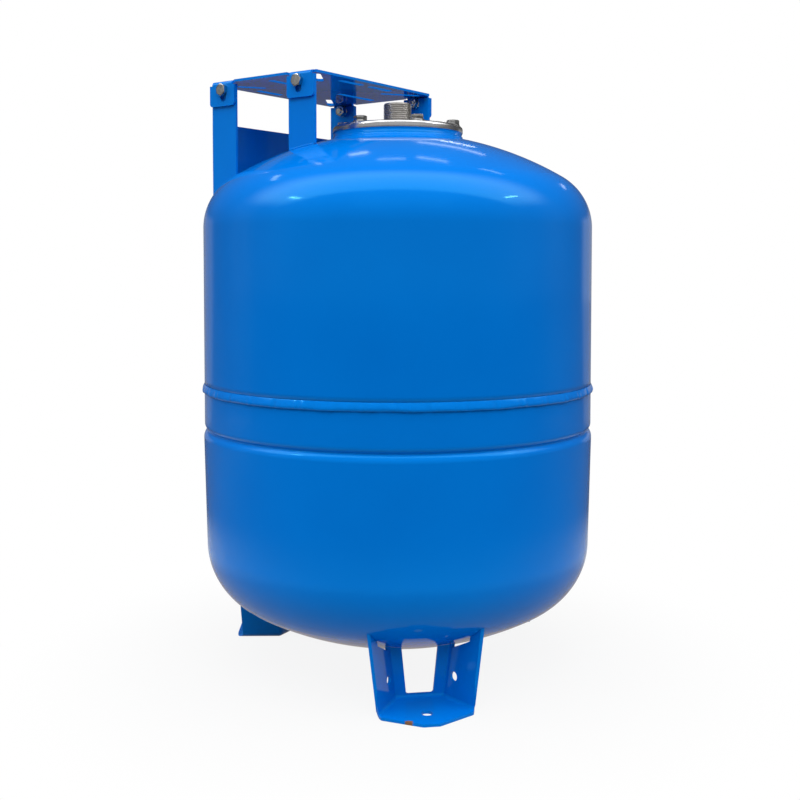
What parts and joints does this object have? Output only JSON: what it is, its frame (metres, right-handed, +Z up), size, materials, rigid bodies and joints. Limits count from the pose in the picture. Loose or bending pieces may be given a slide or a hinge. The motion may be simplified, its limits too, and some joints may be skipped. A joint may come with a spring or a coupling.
{
  "type": "well pressure tank",
  "caption": "Upright steel pressure tank on welded channel feet, with a rubber bladder inside, a flanged threaded outlet on its top dome and a slotted bolted platform for a pump.",
  "frame": {"origin": "on the tank's upright axis at floor level, under the middle of the bottle", "axes": "+Z up along the tank's axis, +Y from the outlet towards the middle of the pump platform, +X along the platform's long side"},
  "size_m": [0.4554, 0.4554, 0.6776],
  "materials": {
    "blue_paint": "glossy blue paint",
    "stainless_steel": "pressed and turned stainless steel",
    "zinc_plate": "bright zinc plate",
    "bladder_rubber": "matt black rubber",
    "valve_brass": "plain turned brass",
    "cap_plastic": "matt black plastic"
  },
  "bodies": {
    "root": {"upper_shell": "blue_paint", "lower_shell": "blue_paint", "girth_weld": "blue_paint", "neck_ring": "blue_paint", "flange": "stainless_steel", "outlet_nipple": "stainless_steel", "flange_washers": "zinc_plate", "flange_bolts": "zinc_plate", "bladder": "bladder_rubber", "pump_platform": "blue_paint", "outer_support": "blue_paint", "inner_post_left": "blue_paint", "inner_post_right": "blue_paint", "platform_bolts": "zinc_plate", "platform_washers": "zinc_plate", "platform_nuts": "zinc_plate", "foot_left": "blue_paint", "foot_right": "blue_paint", "foot_back": "blue_paint", "air_valve_socket": "blue_paint", "air_valve_stem": "valve_brass", "air_valve_core": "valve_brass", "air_valve_cap": "cap_plastic"}
  },
  "joints": []
}
